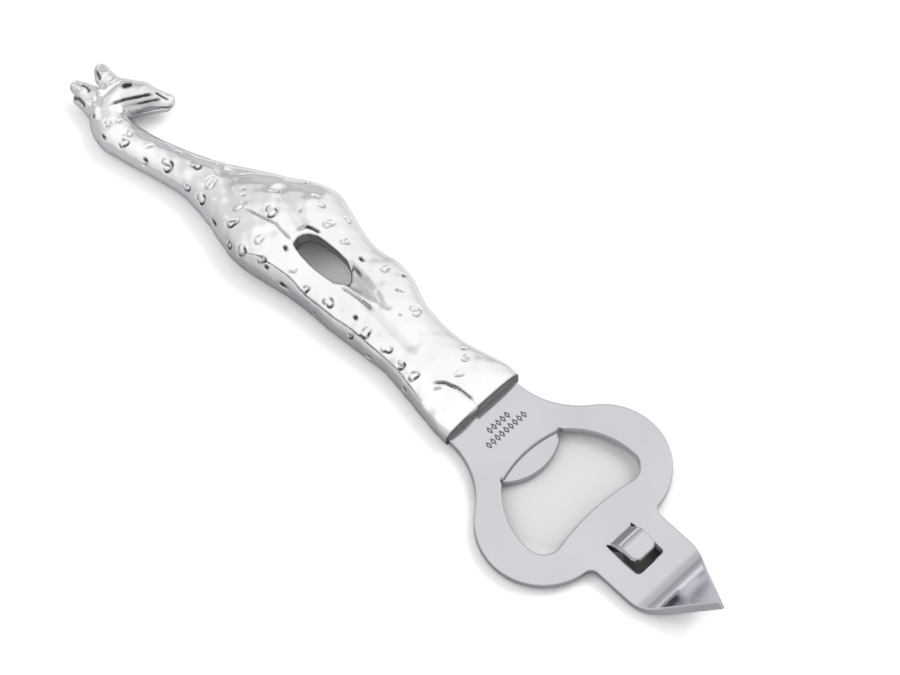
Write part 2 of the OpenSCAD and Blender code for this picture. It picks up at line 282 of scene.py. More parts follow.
# Marks on the unseen underside, in plan: x, y, radius.
UNDER_MARKS = [
    (-99, -10, 1.1), (-94, -7, 1.2), (-88, -9, 1.3), (-83, -5, 1.2), (-78, -8, 1.3), (-76, -3, 1.2),
    (-71, -6, 1.3), (-70, 0, 1.2), (-65, -10, 1.3), (-64, 4, 1.3), (-63, -3, 1.4), (-58, 8, 1.3),
    (-57, -8, 1.3), (-56, 2, 1.2), (-51, 7, 1.2), (-50, -7, 1.3), (-44, 7, 1.1), (-42, -6, 1.3),
    (-36, 7, 1.2), (-34, -5, 1.2), (-29, 5, 1.2), (-26, -6, 1.2), (-21, 4, 1.1), (-18, -5, 1.1),
    (-12, 4, 1.0), (-11, -5, 1.0),
]
UNDER_FOLDS = [
    (0.5, 0.8, 0.2, [(-66, 6), (-61, 3.6), (-56, 1.5)]),
    (0.5, 0.6, 0.3, [(-66, -4), (-60, -2), (-55, -2)]),
    (0.6, 0.7, 0.3, [(-39, 0), (-32, -0.5), (-24, -0.5), (-16, -1)]),
]
EYE = (-106.7, -0.6)
EYE_TURN = math.radians(68)

# Depth of the step under the crease, of the hollow and of the hoof's lower ground.
FLANK_STEP, HOLLOW_DEPTH, HOOF_STEP = 0.35, 1.9, 0.4
# Depth, width and dullness of the crease's own line; the dullness also paints shade into it.
CREASE_LINE = (0.34, 0.32, 1.0)
# Depth, dullness with painted shade, width of a ring's line and width of a dash, in a deep mark and in a
# shallow one.
DEEP_MARK = (0.44, 1.0, 0.25, 0.40)
SHALLOW_MARK = (0.30, 0.38, 0.22, 0.26)
# The gap is this much wider than its outline, and flares by this much for each millimetre under its waist.
GAP_GROW, GAP_WAIST_Z, GAP_FLARE_X, GAP_FLARE_Y = 0.25, 6.9, 0.36, 0.42
# Half width and half height of the socket, its taper, its middle height and its length.
SOCKET_HALF_W, SOCKET_HALF_H, SOCKET_TAPER, SOCKET_Z, SOCKET_L = 5.35, 1.35, 0.05, 2.6, 32.3


def giraffe_form(p, crease=None):
    """The giraffe with its flank, hollow and hoof, but without folds and marks."""
    x, y, z = p.T
    f = giraffe_base(p)
    # hand-polished unevenness
    f = f + 0.05 * np.sin(0.9 * x + 0.5 * y) * np.sin(0.8 * y - 0.3 * x + 1)
    f = f + 0.03 * np.sin(1.7 * x + 1.1 * z) * np.cos(1.5 * y)
    if crease is not None:
        below = np.interp(x, crease[:, 0], crease[:, 2]) - z
        outward = np.interp(x, crease[:, 0], crease[:, 1]) + 1.5 - y
        flank = step(outward, 0, 1) * step(x, -61, -55) * step(-x, 7, 15)
        f = f + FLANK_STEP * flank * step(below, 0, 0.25) * np.exp(-((below / 2.4) ** 2))
    upper = step(z, 4.0, 6.5)
    hollow = polygon_distance(x, y, HOLLOW)
    f = f + upper * HOLLOW_DEPTH * step(-hollow, -0.8, 1.2) * step(-x, 27, 40)
    ground = polygon_distance(x, y, GROUND)
    lowered = step(-ground, -0.25, 0.25) * np.exp(-np.maximum(-ground, 0) / 3) * step(x, -11, -5)
    return f + upper * HOOF_STEP * lowered


def where_seen(points, crease=None):
    """The points of the giraffe that the camera sees through these points (x, y) of the relief plane."""
    points = np.asarray([(x, y, RELIEF_Z) for x, y in points])
    ray = points - CAMERA_AT
    ray /= -ray[:, 2:]
    drop = np.arange(630.0, 646.0, 0.1)
    way = CAMERA_AT + drop[None, :, None] * ray[:, None, :]
    f = giraffe_form(way.reshape(-1, 3), crease).reshape(len(points), -1)
    hit = f < 0
    first = np.where(hit.any(1), hit.argmax(1), f.argmin(1))
    return way[np.arange(len(points)), first]


def under_at(points):
    """The points of the underside right above these points (x, y)."""
    points = np.asarray(points, float)
    rise = np.arange(-1, 6, 0.1)
    way = np.zeros((len(points), len(rise), 3))
    way[:, :, :2] = points[:, None, :2]
    way[:, :, 2] = rise
    f = giraffe_base(way.reshape(-1, 3)).reshape(len(points), -1)
    return way[np.arange(len(points)), (f < 0).argmax(1)]


def plan_relief():
    """Folds, marks, crease and eye as points on the giraffe's surface."""
    crease = where_seen(CREASE)
    crease = crease[np.argsort(crease[:, 0])]
    folds = [(*fold[:3], where_seen(fold[3], crease)) for fold in FOLDS]
    folds += [(*fold[:3], under_at(fold[3])) for fold in UNDER_FOLDS]
    folds.append((*CREASE_LINE, crease))
    spots = where_seen([m[:2] for m in MARKS], crease)
    marks = [(spot, m[2], m[3], i) for i, (spot, m) in enumerate(zip(spots, MARKS))]
    low = under_at([m[:2] for m in UNDER_MARKS])
    marks += [(spot, m[2], "rCrRcd"[i % 6], 100 + i) for i, (spot, m) in enumerate(zip(low, UNDER_MARKS))]
    return folds, marks, crease, where_seen([EYE], crease)[0]


def relief(p, form, plan):
    """How much metal the folds, marks and eye take away at each point, and how much duller and darker they
    leave it: the dark is painted shade.

    form is the field before them: distances are measured along that surface, so grooves keep their width.
    """
    folds, marks, crease, eye = plan
    lift = np.clip(form, -1.2, 1.2) ** 2
    cut, dull_and_painted_shade = np.zeros(len(p)), np.zeros(len(p))
    for depth, width, tone, path in folds:
        low, high = path.min(0) - 4 * width, path.max(0) + 4 * width
        near = np.flatnonzero(((p > low) & (p < high)).all(1))
        if not len(near):
            continue
        d, along = path_distance(p[near], path)
        d = np.sqrt(np.maximum(d ** 2 - lift[near], 0))
        fade = 0.1 + 0.9 * step(along, -0.02, 0.15) * step(-along, -1.02, -0.85)
        cut[near] += depth * fade * np.exp(-((d / width) ** 2))
        dull_and_painted_shade[near] += tone * fade * np.exp(-((d / width) ** 2))
    for spot, radius, kind, seed in marks:
        near = np.flatnonzero(np.abs(p - spot).max(1) < radius + 1.3)
        if not len(near):
            continue
        q = p[near] - spot
        turn = 2.4 * seed
        deep = kind.isupper()
        depth, tone, ring_w, dash_w = DEEP_MARK if deep else SHALLOW_MARK
        if kind in "dD":
            lean = math.radians(-10 if deep else 45) + 0.3 * math.sin(turn)
            along = q[:, 0] * math.cos(lean) + q[:, 1] * math.sin(lean)
            across = np.sqrt(np.maximum((q ** 2).sum(1) - along ** 2 - lift[near], 0))
            along = np.maximum(np.abs(along) - max(radius - 0.35, 0.05), 0)
            shape = np.exp(-((np.hypot(along, across) / dash_w) ** 2))
        else:
            r = np.sqrt(np.maximum((q ** 2).sum(1) - lift[near], 0))
            angle = np.arctan2(q[:, 1], q[:, 0])
            wobble = 1 + 0.20 * np.sin(2 * angle + turn) + 0.12 * np.sin(3 * angle + 2 * turn)
            gap = 0.5 + 0.5 * np.cos(angle - math.radians(-20) - 0.4 * math.sin(5.1 * seed))
            if kind in "rR":
                strength = 0.25 + 0.75 * gap + 0.35 * np.cos(3 * angle + turn)
            else:
                strength = 1.2 * gap ** 1.8
            ring = np.exp(-(((r - 0.85 * radius * wobble) / ring_w) ** 2))
            shape = np.clip(strength, 0, 1.1) * ring
            if seed % 3 == 0:
                slash = np.abs(q[:, 0] * math.sin(turn) + q[:, 1] * math.cos(turn))
                shape = np.maximum(shape, 0.7 * np.exp(-((slash / 0.22) ** 2) - (r / (0.7 * radius)) ** 4))
            cut[near] -= 0.04 * np.exp(-((r / (0.55 * radius)) ** 2))
        cut[near] += depth * shape
        dull_and_painted_shade[near] += tone * shape
    near = np.flatnonzero(np.abs(p - eye).max(1) < 2.5)
    if len(near):
        q = p[near] - eye
        along = q[:, 0] * math.cos(EYE_TURN) + q[:, 1] * math.sin(EYE_TURN)
        across = q[:, 0] * math.sin(EYE_TURN) - q[:, 1] * math.cos(EYE_TURN)
        lens = np.exp(-((along / 1.1) ** 4 + (across / 0.62) ** 2))
        cut[near] += 0.7 * lens
        dull_and_painted_shade[near] += 1.6 * lens
    return cut, dull_and_painted_shade


def giraffe(p, plan):
    """Distance field of the whole casting."""
    x, y, z = p.T
    f = giraffe_form(p, plan[2])
    f = f + relief(p, f, plan)[0]
    gap = polygon_distance(x, y, GAP) - GAP_GROW
    # below its waist the gap opens out towards the back
    sink = np.maximum(GAP_WAIST_Z - z, 0)
    flared = polygon_distance(x + GAP_FLARE_X * sink, y - GAP_FLARE_Y * sink, GAP) - GAP_GROW
    gap = np.minimum(gap, flared)
    f = blend_max(f, -gap, 0.8)
    # the blind socket for the tang
    across = np.abs(y) - SOCKET_HALF_W - SOCKET_TAPER * np.minimum(x, 0)
    inside = np.maximum(np.maximum(across, np.abs(z - SOCKET_Z) - SOCKET_HALF_H), -x - SOCKET_L)
    return np.maximum(f, -inside)


def surface_net(field, low, high, h):
    """Vertices and quads of the field's zero surface on a grid with spacing h."""
    axes = [np.arange(low[i], high[i] + h, h) for i in range(3)]
    shape = [len(a) for a in axes]
    grid = np.stack(np.meshgrid(*axes, indexing="ij"), -1).reshape(-1, 3)
    f = np.empty(len(grid))
    for i in range(0, len(grid), 400000):
        f[i:i + 400000] = giraffe_base(grid[i:i + 400000])
    x, y, z = grid.T
    hollow = (x > -57.5) & (x < -39.5) & (y > -5) & (y < 8)
    hollow |= (x > -33.5) & (np.abs(y) < 6.5) & (z > 0.5) & (z < 4.8)
    hollow |= (x > -44) & (x < -25) & (np.abs(y) < 5) & (z > 3.5)
    band = np.flatnonzero((np.abs(f) < 1.8) | ((f < 0) & hollow))
    f[band] = field(grid[band])
    f = f.reshape(shape)
    inside = f < 0
    corners = [(i, j, k) for i in (0, 1) for j in (0, 1) for k in (0, 1)]

    def shifted(a, c):
        return a[c[0]:shape[0] - 1 + c[0], c[1]:shape[1] - 1 + c[1], c[2]:shape[2] - 1 + c[2]]

    count = sum(shifted(inside, c).astype(np.int8) for c in corners)
    active = (count > 0) & (count < 8)
    cells = np.argwhere(active)
    index = -np.ones(active.shape, int)
    index[active] = np.arange(len(cells))
    total, hits = np.zeros((len(cells), 3)), np.zeros(len(cells))
    for a in corners:
        for b in corners:
            if sum(b) != sum(a) + 1 or any(b[i] < a[i] for i in range(3)):
                continue
            fa = f[tuple((cells + a).T)]
            fb = f[tuple((cells + b).T)]
            cross = (fa < 0) != (fb < 0)
            t = np.where(cross, fa / np.where(cross, fa - fb, 1), 0)[:, None]
            total += np.where(cross[:, None], np.array(a) + t * (np.array(b) - np.array(a)), 0)
            hits += cross
    points = np.array([a[0] for a in axes]) + (cells + total / hits[:, None]) * h
    quads = []
    for axis in range(3):
        u, v = (axis + 1) % 3, (axis + 2) % 3
        n = [slice(None)] * 3
        m = [slice(None)] * 3
        n[axis], m[axis] = slice(0, -1), slice(1, None)
        for s in (n, m):
            s[u], s[v] = slice(1, -1), slice(1, -1)
        first, second = inside[tuple(n)], inside[tuple(m)]
        edge = np.argwhere(first != second)
        out = first[tuple(edge.T)]
        edge[:, u] += 1
        edge[:, v] += 1
        ring = []
        for du, dv in ((0, 0), (-1, 0), (-1, -1), (0, -1)):
            c = edge.copy()
            c[:, u] += du
            c[:, v] += dv
            ring.append(index[tuple(c.T)])
        ring = np.stack(ring, 1)
        ring[~out] = ring[~out][:, ::-1]
        quads.append(ring)
    return points, np.concatenate(quads)


def gradient(field, p, e=0.02):
    steps = np.eye(3) * e
    return np.stack([field(p + s) - field(p - s) for s in steps], 1) / (2 * e)


def make_object(name, points, faces, normals, material):
    """A smooth-shaded object from points in millimetres; normals may be None."""
    mesh = bpy.data.meshes.new(name)
    faces = faces if isinstance(faces, list) else faces.tolist()
    mesh.from_pydata((np.asarray(points) * MM).tolist(), [], faces)
    mesh.polygons.foreach_set("use_smooth", [True] * len(mesh.polygons))
    mesh.update()
    if normals is not None:
        mesh.normals_split_custom_set_from_vertices(np.asarray(normals).tolist())
    piece = bpy.data.objects.new(name, mesh)
    scene.collection.objects.link(piece)
    mesh.materials.append(material)
    return piece


PITCH = 0.27
MAX_MOVE = 0.12


def make_giraffe(material):
    plan = plan_relief()

    def field(p):
        return giraffe(p, plan)

    low = np.array([FAR_X - 0.6, -15.0, -0.6])
    high = np.array([0.6, 15.0, 12.0])
    points, quads = surface_net(field, low, high, PITCH)
    for _ in range(3):
        f = field(points)
        g = gradient(field, points)
        move = f[:, None] * g / np.maximum((g ** 2).sum(1), 0.25)[:, None]
        size = np.linalg.norm(move, axis=1)[:, None]
        points = points - move * np.minimum(1, MAX_MOVE / np.maximum(size, 1e-9))
    g = gradient(field, points)
    normals = g / np.maximum(np.linalg.norm(g, axis=1), 1e-6)[:, None]
    points[:, 2] = np.clip(points[:, 2], 0, None)
    points[:, 0] = np.clip(points[:, 0], FAR_X, 0)
    dull_and_painted_shade = np.clip(relief(points, giraffe_form(points, plan[2]), plan)[1], 0, 1)
    x, y, z = points.T
    # painted shade, with duller metal, in the gap and at its waist, in the hollow, under the crease and on
    # the end wall
    waist = 0.5 * np.exp(-(((z - 6.6) / 0.5) ** 2))
    gap_shade = step(-polygon_distance(x, y, GAP), -0.75, -0.4) * (0.32 * step(z, 3, 6) + waist)
    hollow_shade = 0.30 * step(-polygon_distance(x, y, HOLLOW), 0, 1.5) * step(z, 4, 5) * step(-x, 28, 38)
    below = np.interp(x, plan[2][:, 0], plan[2][:, 2]) - z
    near_side_shade = 0.36 * step(below, 0, 0.5) * step(-y, 5, 7) * step(x, -68, -58)
    end_wall_shade = 0.85 * step(x, -0.40, -0.15)
    dull_and_painted_shade = np.maximum.reduce([dull_and_painted_shade, gap_shade, hollow_shade, near_side_shade, end_wall_shade])
    points[:, 0] += END_X
    piece = make_object("giraffe_casting", points, quads, normals, material)
    layer = piece.data.attributes.new("dull_and_painted_shade", "FLOAT", "POINT")
    layer.data.foreach_set("value", dull_and_painted_shade)
    return piece


# ---------------------------------------------------------------- the blade

PLATE_T = 2.0
PLATE_Z = 1.6
LOBE_R = 13.9
LOBE_X, LOBE_Y = 26.2, 9.0
NECK_Y = 9.6
HEAD_Y = 9.1
NOTCH_R = 1.7
LIP_X, LIP_W, LIP_REACH, LIP_BACK, LIP_DROP = 14.0, 16.3, 3.3, 1.3, 1.0
MOUTH_W, MOUTH_L, CORNER_R, FAR_BULGE = 30.4, 18.6, 4.3, 1.2
BEND_X, BEND_IN, BEND_A = 51.6, 8.0, math.radians(42.4)
TIP_Y, TIP_SLOPE, SHOULDER_R = 0.3, math.radians(33.4), 10.0
HOOK_W, HOOK_RISE = 6.4, 3.6
SLOT_X, SLOT_END, SLOT_W = 39.0, 47.8, 7.2
TONGUE_END = 47.0
EDGE_R = 0.38
# Cosine of the widest angle between two faces that are shaded as one.
SMOOTH = 0.64


def arc(c, r, a, b, pitch=0.35):
    """Points on a circle from angle a to angle b, in radians."""
    n = max(2, int(abs(b - a) * r / pitch) + 1)
    turns = [a + (b - a) * i / n for i in range(n + 1)]
    return [(c[0] + r * math.cos(t), c[1] + r * math.sin(t)) for t in turns]


def arc_through(a, b, c, r, pitch=0.35):
    """Short arc round c from a to b."""
    s = math.atan2(a[1] - c[1], a[0] - c[0])
    t = math.atan2(b[1] - c[1], b[0] - c[0])
    t = s + (t - s + math.pi) % (2 * math.pi) - math.pi
    return arc(c, r, s, t, pitch)


def on_circle(c, r, towards):
    d = np.array(towards, float) - c
    return np.array(c) + d * r / np.linalg.norm(d)


def tidy_loop(points):
    """The loop without points that nearly repeat."""
    kept = []
    for q in points:
        if not kept or math.dist(q, kept[-1]) > 0.02:
            kept.append((float(q[0]), float(q[1])))
    if math.dist(kept[0], kept[-1]) < 0.02:
        kept.pop()
    return kept


def unrolled(x):
    """How far along the middle of the flat sheet a point at plan x lies."""
    r = BEND_IN + PLATE_T / 2
    end = BEND_X + r * math.sin(BEND_A)
    if x < BEND_X:
        return x
    if x < end:
        return BEND_X + r * math.asin((x - BEND_X) / r)
    return BEND_X + r * BEND_A + (x - end) / math.cos(BEND_A)


def blade_outline():
    lobe = (LOBE_X, LOBE_Y)
    sweep_r = (LOBE_X ** 2 + (NECK_Y - LOBE_Y) ** 2 - LOBE_R ** 2) / (2 * (LOBE_R - NECK_Y + LOBE_Y))
    sweep_c = (0, NECK_Y + sweep_r)
    run = math.sqrt((LOBE_R + NOTCH_R) ** 2 - (HEAD_Y + NOTCH_R - LOBE_Y) ** 2)
    notch_c = (LOBE_X + run, HEAD_Y + NOTCH_R)
    a, b = on_circle(lobe, LOBE_R, sweep_c), on_circle(lobe, LOBE_R, notch_c)
    half = [(-0.3, NECK_Y)]
    half += arc_through((0, NECK_Y), a, sweep_c, sweep_r)
    s, t = math.atan2(*(a - lobe)[::-1]), math.atan2(*(b - lobe)[::-1])
    half += arc(lobe, LOBE_R, s, t)
    half += arc_through(b, (notch_c[0], HEAD_Y), notch_c, NOTCH_R, 0.2)
    x_end = TIP_X - 0.5 * PLATE_T * math.sin(BEND_A)
    corner = x_end - (HEAD_Y - TIP_Y) / math.tan(TIP_SLOPE)
    cut = SHOULDER_R * math.tan(TIP_SLOPE / 2)
    shoulder = arc((corner - cut, HEAD_Y - SHOULDER_R), SHOULDER_R, math.pi / 2, math.pi / 2 - TIP_SLOPE)
    last = shoulder[-1]
    n = 24
    slant = [
        (last[0] + (x_end - last[0]) * i / n, last[1] + (TIP_Y - last[1]) * i / n)
        for i in range(1, n + 1)
    ]
    half += shoulder + slant
    half = [(unrolled(x), y) for x, y in half]
    return tidy_loop(half + [(x, -y) for x, y in reversed(half)])


def mouth_outline():
    back_r = ((LIP_W / 2) ** 2 + LIP_BACK ** 2) / (2 * LIP_BACK)
    c = (LIP_X + MOUTH_L - CORNER_R, MOUTH_W / 2 - CORNER_R)
    run, rise = c[0] - LIP_X, (MOUTH_W - LIP_W) / 2
    side_r = (run ** 2 + rise ** 2) / (2 * rise)
    far_r = (c[1] ** 2 + FAR_BULGE ** 2) / (2 * FAR_BULGE)
    far_c = (LIP_X + MOUTH_L - FAR_BULGE + far_r, 0)
    half = arc_through((LIP_X - LIP_BACK, 0), (LIP_X, LIP_W / 2), (LIP_X - LIP_BACK + back_r, 0), back_r)
    half += arc((LIP_X + 0.15, LIP_W / 2 + 0.05), 0.45, math.radians(200), math.radians(95), 0.12)
    side_c = (c[0], MOUTH_W / 2 - side_r)
    half += arc_through((LIP_X + 0.6, LIP_W / 2 + 0.5), (c[0], MOUTH_W / 2), side_c, side_r)[1:]
    half += arc(c, CORNER_R, math.pi / 2, 0.1, 0.25)
    half += arc_through((LIP_X + MOUTH_L, c[1] - 0.3), (far_c[0] - far_r, 0), far_c, far_r)
    return tidy_loop(half + [(x, -y) for x, y in reversed(half)])


def lip_outline():
    """The lip is blunt on the far side, and comes to a point on the near side."""
    w = LIP_W / 2
    back_r = (w * w + LIP_BACK ** 2) / (2 * LIP_BACK)
    front_r = 12.2
    front_c = (LIP_X + LIP_REACH + 0.1 - front_r, 0.3)
    blunt = on_circle(front_c, front_r, (LIP_X + 1.56, w - 1.4))
    point = on_circle(front_c, front_r, (LIP_X, -w))
    front = [(LIP_X, w)] + arc_through(blunt, point, front_c, front_r)
    back = arc_through((LIP_X, -w), (LIP_X, w), (LIP_X - LIP_BACK + back_r, 0), back_r)
    # the back is sunk a little way into the sheet
    back = [(x - 0.06, y) for x, y in back]
    return tidy_loop(front + back)


def slot_outline():
    """U-shaped slot that frees the hook's tongue."""
    w, t = SLOT_W / 2, HOOK_W / 2
    r = 1.7
    outer = [(SLOT_X, -t - 0.05), (SLOT_X, -w)]
    outer += [(x, -w) for x in np.arange(SLOT_X + 1, SLOT_END - 1, 1.0)]
    outer += arc((SLOT_END - 0.8, 0.8 - w), 0.8, -math.pi / 2, 0, 0.15)
    outer += [(SLOT_END, y) for y in np.arange(-2, 2.1, 1.0)]
    outer += arc((SLOT_END - 0.8, w - 0.8), 0.8, 0, math.pi / 2, 0.15)
    outer += [(x, w) for x in np.arange(SLOT_END - 2, SLOT_X + 0.6, -1.0)]
    outer += [(SLOT_X, w), (SLOT_X, t + 0.05)]
    inner = [(x, t) for x in np.arange(SLOT_X + 0.3, TONGUE_END - r, 0.4)]
    inner += arc((TONGUE_END - r, t - r), r, math.pi / 2, 0, 0.15)
    inner += [(TONGUE_END, y) for y in np.arange(1.2, -1.3, -0.6)]
    inner += arc((TONGUE_END - r, r - t), r, 0, -math.pi / 2, 0.15)
    inner += [(x, -t) for x in np.arange(TONGUE_END - r - 0.4, SLOT_X + 0.2, -0.4)]
    return tidy_loop(outer + inner)


def sheet_mesh(loops, thick, edge):
    """A flat sheet with rounded edges, outlined by the first loop and pierced by the others."""
    curve = bpy.data.curves.new("sheet", "CURVE")
    curve.dimensions = "2D"
    curve.fill_mode = "BOTH"
    curve.extrude = (thick / 2 - edge) * MM
    curve.bevel_depth = edge * MM
    curve.bevel_resolution = 2
    curve.offset = -edge * MM
    for loop in loops:
        spline = curve.splines.new("POLY")
        spline.points.add(len(loop) - 1)
        for point, (x, y) in zip(spline.points, loop):
            point.co = (x * MM, y * MM, 0, 1)
        spline.use_cyclic_u = True
    holder = bpy.data.objects.new("sheet", curve)
    scene.collection.objects.link(holder)
    bpy.context.view_layer.update()
    mesh = bpy.data.meshes.new_from_object(holder.evaluated_get(bpy.context.evaluated_depsgraph_get()))
    bpy.data.objects.remove(holder)
    bpy.data.curves.remove(curve)
    wall, cap = (thick / 2 - edge * 0.4) * MM, (thick / 2 - 0.002) * MM
    # material 1, on the wall, is painted dark as shade; material 2, on the rounded rim, is painted bright as
    # a highlight
    for face in mesh.polygons:
        rise = [abs(mesh.vertices[i].co.z) for i in face.vertices]
        face.material_index = 1 if max(rise) < wall else 2 if min(rise) < cap else 0
    return mesh


def spine(s):
    """Middle of the bent sheet at s along it: x, z and slope."""
    r = BEND_IN + PLATE_T / 2
    a = min(max((s - BEND_X) / r, 0), BEND_A)
    x = min(s, BEND_X) + r * math.sin(a)
    z = r * (1 - math.cos(a))
    rest = max(s - BEND_X - r * BEND_A, 0)
    return x + rest * math.cos(a), z + rest * math.sin(a), a


def hook_path():
    """Middle line of the tongue: x, z and slope at even steps along it."""
    top = HOOK_RISE
    ramp = math.radians(56)
    r1, r2 = 1.2, 1.6
    climb = (top - (r1 + r2) * (1 - math.cos(ramp))) / math.sin(ramp)
    parts = [(r1 * ramp, "up", r1), (climb, "straight", 0), (r2 * ramp, "over", r2), (9.0, "level", 0)]
    out = []
    x, z, a, pitch = SLOT_X + 0.1, 0.0, 0.0, 0.02
    for length, kind, r in parts:
        n = int(length / pitch)
        for _ in range(n):
            out.append((x, z, a))
            x += pitch * math.cos(a)
            z += pitch * math.sin(a)
            if kind == "up":
                a = min(a + pitch / r, ramp)
            elif kind == "over":
                a = max(a - pitch / r, 0)
            elif kind == "level":
                a = 0
    out = [q for q in out if q[0] <= 46.7]
    return out


def make_blade(materials):
    mesh = sheet_mesh([blade_outline(), mouth_outline(), slot_outline()], PLATE_T, EDGE_R)
    bm = bmesh.new()
    bm.from_mesh(mesh)
    bmesh.ops.remove_doubles(bm, verts=bm.verts, dist=0.002 * MM)
    cuts = [SLOT_X + 0.1 + 0.35 * i for i in range(28)]
    cuts += [BEND_X - 0.3 + 0.4 * i for i in range(19)]
    for s in cuts:
        geometry = bm.verts[:] + bm.edges[:] + bm.faces[:]
        bmesh.ops.bisect_plane(bm, geom=geometry, plane_co=(s * MM, 0, 0), plane_no=(1, 0, 0), dist=1e-7)
    # the root corners of the slot take the edge's dark material, as painted shade
    for face in bm.faces:
        c = face.calc_center_median() / MM
        if abs(c.x - SLOT_X) < 0.55 and 2.8 < abs(c.y) < 4.1:
            face.material_index = 1
    path = hook_path()
    half = HOOK_W / 2 + 0.02
    flat = {}
    for v in bm.verts:
        s, y, w = v.co.x / MM, v.co.y / MM, v.co.z / MM
        if SLOT_X + 0.1 < s < TONGUE_END + 0.05 and abs(y) < half:
            t = (s - SLOT_X - 0.1) / (TONGUE_END - SLOT_X - 0.1)
            x, z, a = path[min(int(round(t * (len(path) - 1))), len(path) - 1)]
            # the tongue is crowned, droops at its end and narrows a little
            z -= 0.35 * min(t * 3, 1) * (y / half) ** 4 + 0.35 * max(t - 0.75, 0) * 4
            y *= 1 - 0.05 * t
        else:
            x, z, a = spine(s)
        if abs(abs(w) - PLATE_T / 2) < 0.002:
            flat[v] = Vector((-math.sin(a), 0, math.cos(a))) * math.copysign(1, w)
        v.co = Vector((x - w * math.sin(a) + END_X, y, z + w * math.cos(a) + PLATE_Z + PLATE_T / 2)) * MM
    lip = sheet_mesh([lip_outline()], PLATE_T, EDGE_R)
    first = len(bm.verts)
    bm.from_mesh(lip)
    bm.verts.ensure_lookup_table()
    for v in bm.verts[first:]:
        if abs(abs(v.co.z / MM) - PLATE_T / 2) < 0.002:
            flat[v] = Vector((0, 0, math.copysign(1, v.co.z)))
        v.co += Vector((END_X, 0, PLATE_Z + PLATE_T / 2 - LIP_DROP)) * MM
    bm.normal_update()
    corners = []
    for face in bm.faces:
        face.smooth = True
        for v in face.verts:
            if v in flat:
                corners.append(flat[v])
                continue
            total = Vector((0, 0, 0))
            for other in v.link_faces:
                if other.normal.dot(face.normal) > SMOOTH:
                    total += other.normal * other.calc_area()
            corners.append(total.normalized() if total.length > 0 else face.normal.copy())
    bm.to_mesh(mesh)
    bm.free()
    bpy.data.meshes.remove(lip)
    mesh.materials.clear()
    for material in materials:
        mesh.materials.append(material)
    mesh.normals_split_custom_set(corners)
    piece = bpy.data.objects.new("blade_stamping", mesh)
    scene.collection.objects.link(piece)
    return piece


def make_frieze(material):
    """Two short rows of small lozenges etched beside the handle."""
    points, faces = [], []
    z = PLATE_Z + PLATE_T + 0.012
    for x, count in ((4.3, 5), (6.6, 9)):
        for i in range(count):
            y = (i - (count - 1) / 2) * 1.25 + 0.4
            n = len(points)
            long, wide, band = 1.0, 0.56, 0.34
            for k in (1.0, 1 - band / wide):
                a, b = long * k, wide * k
                points += [(x - a, y, z), (x, y - b, z), (x + a, y, z), (x, y + b, z)]
            for k in range(4):
                j = (k + 1) % 4
                faces.append((n + k, n + j, n + 4 + j, n + 4 + k))
    points = [(x + END_X, y, z) for x, y, z in points]
    return make_object("etched_frieze", points, faces, None, material)


# ---------------------------------------------------------------- finishes

class Shader:
    """A node tree with short helpers, around one Principled shader."""

    def __init__(self, name, colour, metallic, roughness):
        self.material = bpy.data.materials.new(name)
        self.material.use_nodes = True
        self.tree = self.material.node_tree
        self.main = next(n for n in self.tree.nodes if n.type == "BSDF_PRINCIPLED")
        self.main.inputs["Metallic"].default_value = metallic
        self.main.inputs["Base Color"].default_value = (*colour, 1)
        self.main.inputs["Roughness"].default_value = roughness
        self.place = self.add("ShaderNodeTexCoord").outputs["Object"]

    def add(self, kind, **values):
        node = self.tree.nodes.new(kind)
        for key, value in values.items():
            setattr(node, key, value)
        return node

    def join(self, a, b):
        self.tree.links.new(a, b)

    def noise(self, scale, detail=3.0, stretch=(1, 1, 1)):
        """Noise of that many waves to a millimetre."""
        shape = self.add("ShaderNodeMapping")
        shape.inputs["Scale"].default_value = [v * scale / MM for v in stretch]
        self.join(self.place, shape.inputs["Vector"])
        node = self.add("ShaderNodeTexNoise")
        node.inputs["Scale"].default_value = 1
        node.inputs["Detail"].default_value = detail
        self.join(shape.outputs[0], node.inputs["Vector"])
        return node.outputs["Fac"]

    def remap(self, value, a, b, low, high):
        node = self.add("ShaderNodeMapRange")
        for key, number in zip(("From Min", "From Max", "To Min", "To Max"), (a, b, low, high)):
            node.inputs[key].default_value = number
        self.join(value, node.inputs["Value"])
        return node.outputs["Result"]

    def attribute(self, name):
        node = self.add("ShaderNodeAttribute", attribute_name=name)
        return node.outputs["Fac"]

    def math(self, kind, a, b):
        node = self.add("ShaderNodeMath", operation=kind)
        for i, v in enumerate((a, b)):
            if isinstance(v, (int, float)):
                node.inputs[i].default_value = v
            else:
                self.join(v, node.inputs[i])
        return node.outputs[0]

    def mix(self, factor, a, b):
        """Colour a where the factor is 0 and b where it is 1."""
        node = self.add("ShaderNodeMix", data_type="RGBA")
        self.join(factor, node.inputs["Factor"])
        for socket, v in zip((node.inputs[6], node.inputs[7]), (a, b)):
            if isinstance(v, tuple):
                socket.default_value = (*v, 1)
            else:
                self.join(v, socket)
        return node.outputs[2]

    def bump(self, height, distance, under=None):
        node = self.add("ShaderNodeBump")
        node.inputs["Distance"].default_value = distance * MM
        self.join(height, node.inputs["Height"])
        if under:
            self.join(under, node.inputs["Normal"])
        return node.outputs["Normal"]

    def finish(self, colour=None, roughness=None, normal=None):
        for key, value in (("Base Color", colour), ("Roughness", roughness), ("Normal", normal)):
            if value:
                self.join(value, self.main.inputs[key])
        return self.material


